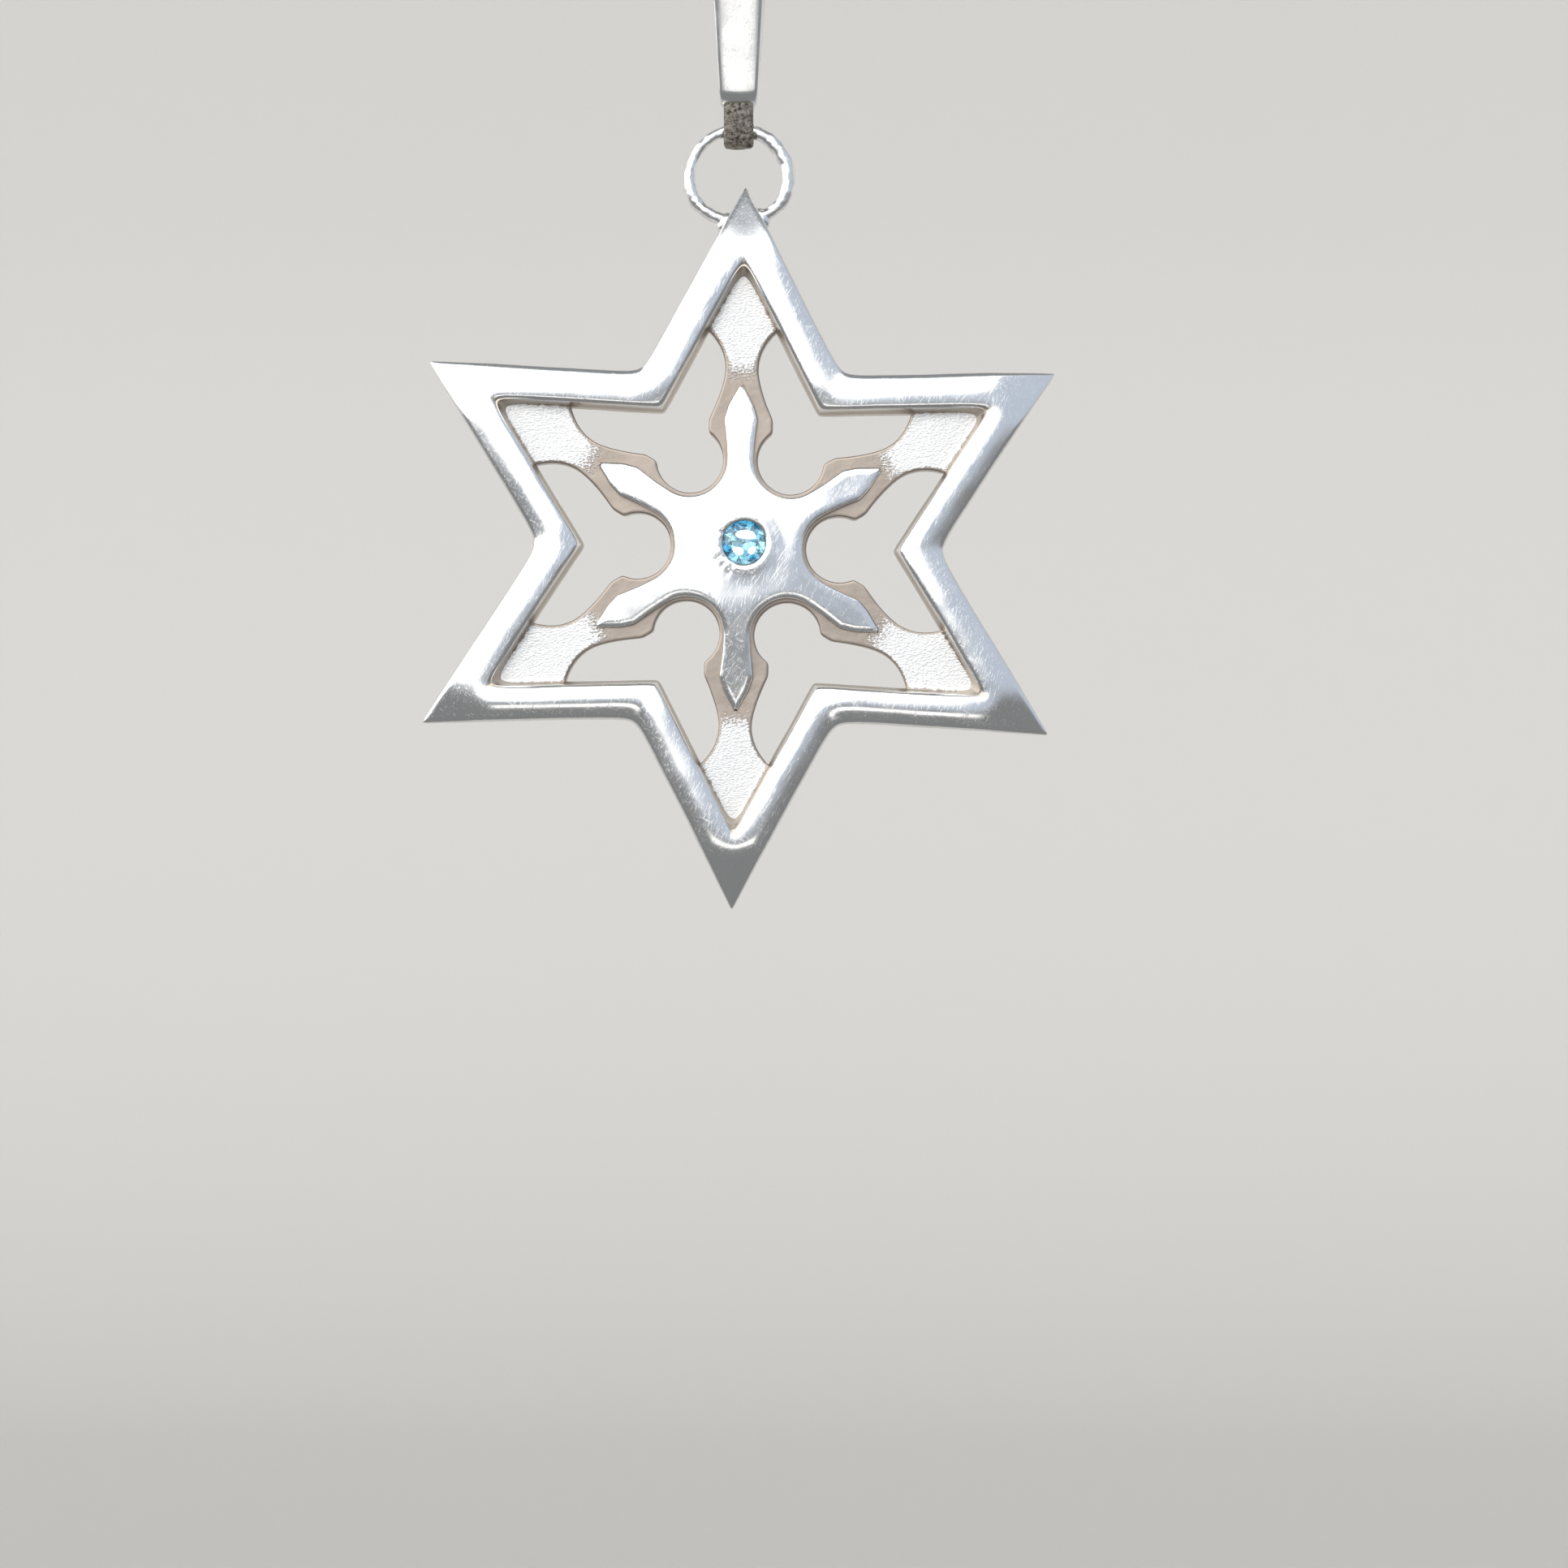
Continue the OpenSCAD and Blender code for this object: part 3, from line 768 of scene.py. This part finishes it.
def makePlate():
    edge = plateSide()
    (filletWidth, filletRise), edgeRound = plate["fillet"], plate["edgeRound"]

    def height(points):
        folded = inSector(points)
        fillet = filletRise * np.clip(1 - fromBorderWall(folded) / filletWidth, 0, 1) ** 2
        away = edgeRound - np.clip(distanceTo(edge, folded), 0, edgeRound)
        return plate["thick"] + fillet - edgeRound + np.sqrt(edgeRound ** 2 - away ** 2)

    sector, topRow, lowRow = slabSector(edge, plate, height)
    middle = collar(topRow, lowRow, plate, height)
    mesh = repeatSector("starPlate", sector, plate, blastedSilver, middle)
    points = np.array([v.co for v in mesh.vertices])
    folded = inSector(points)
    nearest = np.round(np.arctan2(points[:, 0], points[:, 1]) / sectorAngle).astype(int)
    start, full, margin = np.array(list(tabs.values()))[nearest % starForm["points"]].T
    grain = np.clip((folded[:, 1] - start) / (full - start), 0, 1)
    grain *= smoothStep(0, 2, distanceTo(edge, folded) / margin)  # half full at the margin
    grain *= smoothStep(0, plate["plainFoot"], fromBorderWall(folded))
    setAttribute(mesh, "grain", grain * (points[:, 2] > plate["thick"] - plate["grainDepth"]))
    setAttribute(mesh, "back", 1 - smoothStep(*plate["backShade"], points[:, 2]))
    standUp(mesh)
    placePiece("starPlate", mesh, blastedSilver, "star", "silver_matte", "star")


makePlate()

inner = {
    "gapRadius": 1.28,
    "armHalf": 0.452,
    # half width and distance out, from where the arm leaves the round gap to its tip
    "side": ((0.46, 3.3), (0.48, 3.6), (0.58, 4.42), (0.44, 4.88), (0.05, 5.62)),
    "face": 1.38,  # height of the hub
    "armFall": (0.118, 2.1, 0.4),  # slope of the arms, where it starts and how softly
    "mound": (0.075, 1.25),  # the hub swells a little towards the stone
    "moundShift": (1.2, 1.8),  # over these radii the swell moves from the stone's middle to the star's
    "pillow": (0.05, 0.26),  # fall towards the edges, and its width
    "low": 0.8,
    "backRound": 0.0,
    "insets": (0.2, 0.15, 0.1, 0.06, 0.035, 0.015, 0.004, 0.0),
    "core": 0.02,
    "walls": (0.9, 0.5, 0.0),
    "edgeRound": 0.05,
    "columns": 17,
    "rowSpacing": 0.05,
    "hole": ((1.22, 1.409), (1.12, 1.418), (1.03, 1.434), (0.94, 1.447), (0.87, 1.45),
             (0.81, 1.438), (0.765, 1.412), (0.74, 1.375), (0.735, 1.33), (0.76, 1.29),
             (0.83, 1.24), (0.895, 1.205), (0.895, 1.15), (0.5, 0.8)),
    "collarSteps": 4,
    "waver": 0.04,
    "waverScale": 0.6,
    "wall": (0.01, 1.2),  # how near the edge and how high the painted shade on the side walls reaches
}
pits = {
    # small pits in the burnished rim round the stone, most on its left
    "ring": (0.75, 1.15),
    "over": 1.3,
    "scale": 5,
    "start": 0.1,
    "steep": 3,
    "depth": 0.02,
    "right": 0.2,  # share of them that the right side has
    "left": (-0.3, 0.9),
}


def makeInnerStar():
    path = gapEdge(inner["gapRadius"], inner["armHalf"]) + [np.array(p) for p in inner["side"]]
    edge = softened(spreadEvenly(path, inner["rowSpacing"]), 1)

    def height(points):
        folded = inSector(points)
        away = distanceTo(edge, folded)
        slope, start, soft = inner["armFall"]
        out = folded[:, 1] - start
        swell, reach = inner["mound"]
        face = inner["face"] - slope * (out + np.hypot(out, soft)) / 2
        shift = 1 - smoothStep(*inner["moundShift"], np.hypot(points[:, 0], points[:, 1]))
        fromMiddle = np.linalg.norm(points[:, :2] - stoneSpot * shift[:, None], axis=1)
        face = face + swell * np.exp(-(fromMiddle / reach) ** 2)
        depth, width = inner["pillow"]
        r = inner["edgeRound"]
        pillow = face - depth * np.clip(1 - away / width, 0, 1) ** 2
        return pillow - r + np.sqrt(r * r - (r - np.clip(away, 0, r)) ** 2)

    sector, topRow, lowRow = slabSector(edge, inner, height)
    middle = collar(topRow, lowRow, inner, height)
    mesh = repeatSector("innerStar", sector, inner, polishedSilver, middle)
    points = np.array([v.co for v in mesh.vertices])
    # painted shade on the arms' and hub's side walls, below the given height
    wallWidth, wallTop = inner["wall"]
    wall = (distanceTo(edge, inSector(points)) < wallWidth) & (points[:, 2] < wallTop)
    setAttribute(mesh, "recessShade", wall)
    ringLow, ringHigh = pits["ring"]
    for v in mesh.vertices:
        out = Vector((v.co.x - stoneSpot[0], v.co.y - stoneSpot[1]))
        if ringLow < out.length < ringHigh and v.co.z > pits["over"]:
            left = float(smoothStep(*pits["left"], -out.x))
            pit = max(0.0, noise.noise(v.co * pits["scale"]) - pits["start"]) * (pits["right"] + left)
            v.co.z -= pits["depth"] * min(1.0, pits["steep"] * pit)
    standUp(mesh)
    placePiece("innerStar", mesh, polishedSilver, "star", "silver", "star")


makeInnerStar()


# Jump ring, soldered to the sides of the top point

ring = {
    "radius": 1.7,
    "over": 0.2,  # its centre's height over the star's outer point
    "plane": 0.61,
    "wire": 0.255,
    "thinWire": 0.72,  # share of the wire's thickness that is left at its upper left
    "thinFrom": 0.2,
    "flatFoot": 0.86,  # the soldered lower half is pressed in
    "hammer": 0.1,
    "hammerScale": 3.2,
    "steps": 160,
    "wireSteps": 20,
    "solder": 0.29,
    "solderShape": (0.9, 1.35, 0.95),
    "voxel": 0.035,
    "flow": (0.5, 3),  # how far and how often the solder's surface is smoothed
}


def makeRingTree():
    tree, names = newTree("hammeredRing", (
        ("Radius", "Float"), ("Wire", "Float"), ("Thin Share", "Float"),
        ("Hammer", "Float"), ("Hammer Scale", "Float"), ("Finish", "Material")))
    given = tree.nodes.new("NodeGroupInput").outputs
    circle = treeNode(tree, "GeometryNodeCurvePrimitiveCircle", Resolution=ring["steps"],
                      Radius=given["Radius"])
    section = treeNode(tree, "GeometryNodeCurvePrimitiveCircle", Resolution=ring["wireSteps"],
                       Radius=given["Wire"])
    place = tree.nodes.new("GeometryNodeInputPosition")
    upLeft = treeNode(tree, "ShaderNodeVectorMath", "DOT_PRODUCT", input0=place.outputs[0],
                      input1=(-0.7, 0.7, 0))
    thick = treeNode(tree, "ShaderNodeMapRange", **{
        "Value": upLeft.outputs["Value"], "From Min": ring["thinFrom"], "From Max": given["Radius"],
        "To Min": 1, "To Max": given["Thin Share"]})
    wire = treeNode(tree, "GeometryNodeCurveToMesh", **{
        "Curve": circle.outputs[0], "Profile Curve": section.outputs[0], "Scale": thick.outputs[0]})
    normal = tree.nodes.new("GeometryNodeInputNormal")
    dented = treeNode(tree, "GeometryNodeSetPosition", Geometry=wire.outputs[0],
                      Offset=wander(tree, given["Hammer Scale"], given["Hammer"], normal.outputs[0]))
    finishTree(tree, dented.outputs[0], given["Finish"])
    return tree, names


def makeRing():
    tree, names = makeRingTree()
    seed = makeObject("ringSeed", bpy.data.meshes.new("ringSeed"))
    modifier = seed.modifiers.new("hammeredRing", "NODES")
    modifier.node_group = tree
    for name, key in (("Radius", "radius"), ("Wire", "wire"), ("Thin Share", "thinWire"),
                      ("Hammer", "hammer"), ("Hammer Scale", "hammerScale")):
        modifier[names[name]] = ring[key]
    modifier[names["Finish"]] = wireSilver
    mesh = meshOf("jumpRingWire", seed)
    for v in mesh.vertices:
        v.co.y *= 1 - (1 - ring["flatFoot"]) * float(smoothStep(0, ring["radius"], -v.co.y))
    ringUp = starForm["pointRadius"] + ring["over"]
    mesh.transform(Matrix.Translation((0, ringUp, ring["plane"])))
    # a bead of solder where the wire crosses each side of the point
    shape = bmesh.new()
    shape.from_mesh(mesh)
    lean = math.radians(starForm["lean"])
    tip = Vector((math.sin(lean), math.cos(lean))) * starForm["pointRadius"]
    for side in (-1, 1):
        slant = pointHalf - side * lean
        down = Vector((side * math.sin(slant), -math.cos(slant)))
        toRing = tip - Vector((0, ringUp))
        low = ring["radius"] * (1 + ring["flatFoot"]) / 2
        reach = -toRing.dot(down) + math.sqrt(toRing.dot(down) ** 2 - toRing.dot(toRing) + low ** 2)
        spot = tip + down * reach
        place = (Matrix.Translation((*spot, ring["plane"])) @ Matrix.Rotation(side * slant, 4, "Z")
                 @ Matrix.Diagonal((*ring["solderShape"], 1)))
        bmesh.ops.create_uvsphere(shape, u_segments=24, v_segments=16, radius=ring["solder"], matrix=place)
    shape.to_mesh(mesh)
    shape.free()
    soldered = makeObject("jumpRingSoldered", mesh)
    remesh = soldered.modifiers.new("fuse", "REMESH")
    remesh.mode = "VOXEL"
    remesh.voxel_size = ring["voxel"]
    smooth = soldered.modifiers.new("flow", "SMOOTH")
    smooth.factor, smooth.iterations = ring["flow"]
    mesh = meshOf("jumpRing", soldered)
    closeUp(mesh, fineWeld)
    standUp(mesh, 0)
    placePiece("jumpRing", mesh, wireSilver, "star", "silver", "star")


makeRing()


# Bail: a hollow band, and the cast loop under it that holds the ring

def makeRoughTree():
    tree, names = newTree("unevenMetal", (
        ("Metal", "Geometry"), ("Depth", "Float"), ("Lump Scale", "Float"), ("Finish", "Material")))
    given = tree.nodes.new("NodeGroupInput").outputs
    normal = tree.nodes.new("GeometryNodeInputNormal")
    moved = treeNode(tree, "GeometryNodeSetPosition", Geometry=given["Metal"],
                     Offset=wander(tree, given["Lump Scale"], given["Depth"], normal.outputs[0]))
    finishTree(tree, moved.outputs[0], given["Finish"])
    return tree, names


roughTree, roughInputs = makeRoughTree()
bandEdge = {
    "turn": (0.5, 1.0, math.pi / 2),  # angles round the outer edge
    "innerUp": 0.6,  # share of the rounding at which the inner edge starts
    "innerCut": (0.4, 0.03),  # share of the rounding cut off that edge, and how far up
    "innerPoints": 5,
}


def closedBand(name, outer, inside, halfWidth, form, material):
    # sweeps a section with rounded edges round a closed pair of curves in the side view
    rows = []
    for outPoint, inPoint in zip(outer, inside):
        thick = np.linalg.norm(outPoint - inPoint)
        up = (outPoint - inPoint) / thick
        wideOut, wideIn = halfWidth(outPoint[1]), halfWidth(inPoint[1])
        r = min(form["edgeRound"], 0.4 * thick)
        edge = thick - form["crown"]
        cutShare, cutUp = bandEdge["innerCut"]
        half = [(s * (wideOut - r), thick - form["crown"] * s * s)
                for s in np.linspace(0, 1, form["facePoints"])]
        half += [(wideOut - r + r * math.sin(a), edge - r + r * math.cos(a)) for a in bandEdge["turn"]]
        half += [(wideOut * (1 - s) + wideIn * s, (edge - r) * (1 - s) + bandEdge["innerUp"] * r * s)
                 for s in (0.5, 1.0)]
        half.append((wideIn - r * cutShare, cutUp))
        half += [(s * (wideIn - r), 0) for s in np.linspace(1, 0, bandEdge["innerPoints"])]
        section = half + [(-x, h) for x, h in half[-2:0:-1]]
        rows.append([(x, *(inPoint + up * h)) for x, h in section])
    rows = np.array(rows)
    faces = gridFaces(*rows.shape[:2], closedRows=True, closedColumns=True)
    mesh = makeMesh(name, rows.reshape(-1, 3), faces)
    closeUp(mesh, fineWeld)
    seed = makeObject(name + "Seed", mesh)
    modifier = seed.modifiers.new("unevenMetal", "NODES")
    modifier.node_group = roughTree
    modifier[roughInputs["Depth"]] = form["dents"]
    modifier[roughInputs["Lump Scale"]] = form["dentScale"]
    modifier[roughInputs["Finish"]] = material
    mesh = meshOf(name, seed)
    mesh.transform(Matrix.Scale(mm, 4))
    mesh.update()
    return mesh


band = {
    "topZ": 0.72,
    "footZ": -6.63,
    "topRadius": 1.9,
    "footRadius": 0.7,
    "thick": 0.72,
    "openingFoot": (-4.8, 0.2),  # centre and radius of the opening's lower end
    "topWidth": 2.2,
    "footWidth": 1.3,
    "edgeRound": 0.14,
    "crown": 0.05,
    "facePoints": 6,
    "dents": 0.02,
    "dentScale": 0.6,
    "steps": (56, 24, 36),  # round the top, round the foot and down a leg
}


def beltCurve(topZ, topRadius, footZ, footRadius):
    # round at the top and the foot, with straight legs between, in the side view
    tilt = math.asin((topRadius - footRadius) / (topZ - footZ))
    topSteps, footSteps, legSteps = band["steps"]
    topArc = [(topRadius * math.cos(a), topZ + topRadius * math.sin(a))
              for a in np.linspace(-tilt, math.pi + tilt, topSteps)]
    footArc = [(footRadius * math.cos(a), footZ + footRadius * math.sin(a))
               for a in np.linspace(math.pi + tilt, 2 * math.pi - tilt, footSteps)]
    leg = np.linspace(0, 1, legSteps)[1:-1, None]
    left = np.array(topArc[-1]) * (1 - leg) + np.array(footArc[0]) * leg
    right = np.array(footArc[-1]) * (1 - leg) + np.array(topArc[0]) * leg
    return np.vstack([topArc, left, footArc, right])


def makeBand():
    b = band
    topCentre = b["topZ"] - b["topRadius"]
    outer = beltCurve(topCentre, b["topRadius"], b["footZ"] + b["footRadius"], b["footRadius"])
    opening = beltCurve(topCentre, b["topRadius"] - b["thick"], *b["openingFoot"])

    def halfWidth(z):
        return np.interp(z, (b["footZ"], b["topZ"]), (b["footWidth"] / 2, b["topWidth"] / 2))

    mesh = closedBand("bailBand", outer, opening, halfWidth, b, satinSilver)
    placePiece("bailBand", mesh, satinSilver, "bail", "silver", "bail")


makeBand()

loop = {
    "z": -7.36,
    "radius": 0.64,
    "holeRadius": 0.305,
    "width": 1.0,
    "neckHalf": 0.45,
    "neckUp": 1.0,
    "edgeRound": 0.12,
    "crown": 0.02,
    "facePoints": 8,
    "dents": 0.09,
    "dentScale": 2.4,
    "steps": 120,
    "rounding": 3,
}


def makeLoop():
    b = loop
    angles = np.linspace(0, 2 * math.pi, b["steps"], endpoint=False)
    outer = []
    for a in angles:
        side, up = abs(math.sin(a)), math.cos(a)
        reach = b["radius"]
        if up > 0:
            reach = max(reach, min(b["neckHalf"] / max(side, tiny), b["neckUp"] / up))
        outer.append((reach * math.sin(a), b["z"] + reach * math.cos(a)))
    outer = softened(np.array(outer), b["rounding"], closed=True)
    hole = b["holeRadius"] * np.column_stack([np.sin(angles), np.cos(angles)]) + (0, b["z"])
    mesh = closedBand("bailLoop", outer, hole, lambda z: b["width"] / 2, b, castSilver)
    placePiece("bailLoop", mesh, castSilver, "bail", "silver_cast", "bail")


makeLoop()

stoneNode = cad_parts["stone"]
stoneNode.data.materials.clear()
stoneNode.data.materials.append(blueStone)


# Floor, lights and camera

sweep = {
    "colour": (0.68, 0.66, 0.63),
    "roughness": 0.9,
    "gloss": 0.1,
    "front": 0,
    "back": 190,
    "bend": 90,
    "steps": 40,
    "floor": -70,
    "height": 330,
    "half": 900,
}


def makeSweep():
    # a pale sheet: flat under the pendant, then curved up behind it
    s = sweep
    turnStart = s["back"] - s["bend"]
    path = [(s["front"], s["floor"]), (turnStart, s["floor"])]
    path += [(turnStart + s["bend"] * math.sin(a), s["floor"] + s["bend"] * (1 - math.cos(a)))
             for a in np.linspace(0, math.pi / 2, s["steps"])[1:]]
    path.append((s["back"], s["floor"] + s["height"]))
    points = [(x * mm, y * mm, z * mm) for y, z in path for x in (-s["half"], s["half"])]
    mesh = makeMesh("floorSweep", points, gridFaces(len(path), 2))
    for face in mesh.polygons:
        face.use_smooth = True
    material, _, shader = newMaterial("paleSheet")
    shader.inputs["Base Color"].default_value = (*s["colour"], 1)
    shader.inputs["Roughness"].default_value = s["roughness"]
    shader.inputs["Specular IOR Level"].default_value = s["gloss"]
    mesh.materials.append(material)
    makeObject("floorSweep", mesh)


studio = {
    # angles in degrees from the front, where each area of light ends and how softly
    "key": (2.1, 2.09, 2.06),
    "keyBelow": (-2.5, 3),
    "keyLean": 0.06,  # how far its lower edge drops towards the left
    "keyAbove": (48, 8),
    "keyLeft": (-105, 12),
    "keyRight": (3, 7),  # of up minus right, so the light leans over the top to the right
    "fill": (0.5, 0.56, 0.66),
    "fillBelow": (-5, 8),
    "fillRight": (95, 15),
    "ground": (0.21, 0.215, 0.22),
    "horizon": (0.42, 0.45, 0.49),
    "card": (1.7, 1.69, 1.67),  # a low card that the bail's slanted front mirrors
    "cardBelow": (-22.5, 3),
    "cardAbove": (-15, 1.5),
    "cardLeft": (-14, 5),
    "cardRight": (14, 5),
    "groundTo": (-9, 8),
    "ceiling": (0.25, 0.26, 0.27),
    "ceilingFrom": (52, 9),
    "lamp": (12, 12, 12),  # small bright lamps that the stone's table mirrors
    "lampEdge": (0.8, 1.4),
    # each lamp's place, right and up, and half its width and height
    "lamps": ((-0.54, 3.78, 0.19, 0.07), (-0.71, 3.52, 0.09, 0.07), (-0.46, 3.53, 0.08, 0.07)),
    "plain": (0.62, 0.61, 0.6),  # seen past the floor's edges
}


def makeLight():
    # a wide soft light in front, above and to the left, a cool fill on the right and a dark floor
    s = studio
    world = bpy.data.worlds.new("studio")
    bpy.context.scene.world = world
    world.use_nodes = True
    tree = world.node_tree
    axes = tree.nodes.new("ShaderNodeSeparateXYZ")
    tree.links.new(tree.nodes.new("ShaderNodeTexCoord").outputs["Generated"], axes.inputs[0])
    turn = addMath(tree, "ARCTAN2", axes.outputs["X"], addMath(tree, "MULTIPLY", axes.outputs["Y"], -1.0))
    rise = addMath(tree, "ARCSINE", axes.outputs["Z"], 0.0)
    right = addMath(tree, "MULTIPLY", turn, 180 / math.pi)
    up = addMath(tree, "MULTIPLY", rise, 180 / math.pi)

    def above(value, name):
        at, soft = s[name]
        return addRange(tree, value, at - soft, at + soft, 0, 1, True)

    def under(value, name):
        at, soft = s[name]
        return addRange(tree, value, at - soft, at + soft, 1, 0, True)

    def overlap(*masks):
        both = masks[0]
        for mask in masks[1:]:
            both = addMath(tree, "MULTIPLY", both, mask)
        return both

    def squareFrom(value, middle, half):
        share = addMath(tree, "MULTIPLY", addMath(tree, "ADD", value, -middle), 1 / half)
        return addMath(tree, "MULTIPLY", share, share)

    shade = addMix(tree, above(up, "groundTo"), s["ground"], s["horizon"])
    shade = addMix(tree, above(up, "ceilingFrom"), shade, s["ceiling"])
    cool = overlap(above(up, "fillBelow"), under(right, "fillRight"), under(up, "ceilingFrom"))
    shade = addMix(tree, cool, shade, s["fill"])
    card = overlap(above(up, "cardBelow"), under(up, "cardAbove"),
                   above(right, "cardLeft"), under(right, "cardRight"))
    shade = addMix(tree, card, shade, s["card"])
    dropped = addMath(tree, "ADD", up, addMath(tree, "MULTIPLY", right, -s["keyLean"]))
    key = overlap(above(dropped, "keyBelow"), under(up, "keyAbove"), above(right, "keyLeft"),
                  above(addMath(tree, "SUBTRACT", up, right), "keyRight"))
    shade = addMix(tree, key, shade, s["key"])
    for lampRight, lampUp, halfWidth, halfHeight in s["lamps"]:
        away = addMath(tree, "ADD", squareFrom(right, lampRight, halfWidth),
                       squareFrom(up, lampUp, halfHeight))
        shade = addMix(tree, addRange(tree, away, *s["lampEdge"], 1, 0, True), shade, s["lamp"])
    seen = tree.nodes.new("ShaderNodeLightPath").outputs["Is Camera Ray"]
    tree.links.new(addMix(tree, seen, shade, s["plain"]), tree.nodes["Background"].inputs["Color"])


view = {
    "centre": (1.56, -29.84),
    "distance": 130,
    "frameWidth": 53.97,  # that the camera sees at that distance
    "sensor": 36,
    "clip": 0.001,
}


def makeCamera():
    camera = bpy.data.cameras.new("camera")
    camera.sensor_width = view["sensor"]
    camera.lens = view["sensor"] * view["distance"] / view["frameWidth"]
    camera.clip_start = view["clip"]
    item = bpy.data.objects.new("camera", camera)
    item.location = Vector((view["centre"][0], -view["distance"], view["centre"][1])) * mm
    item.rotation_euler = (math.pi / 2, 0, 0)
    bpy.context.scene.collection.objects.link(item)
    bpy.context.scene.camera = item


makeSweep()
makeLight()
makeCamera()
bpy.context.scene.view_settings.view_transform = "Standard"
print("floor, lights and camera made")
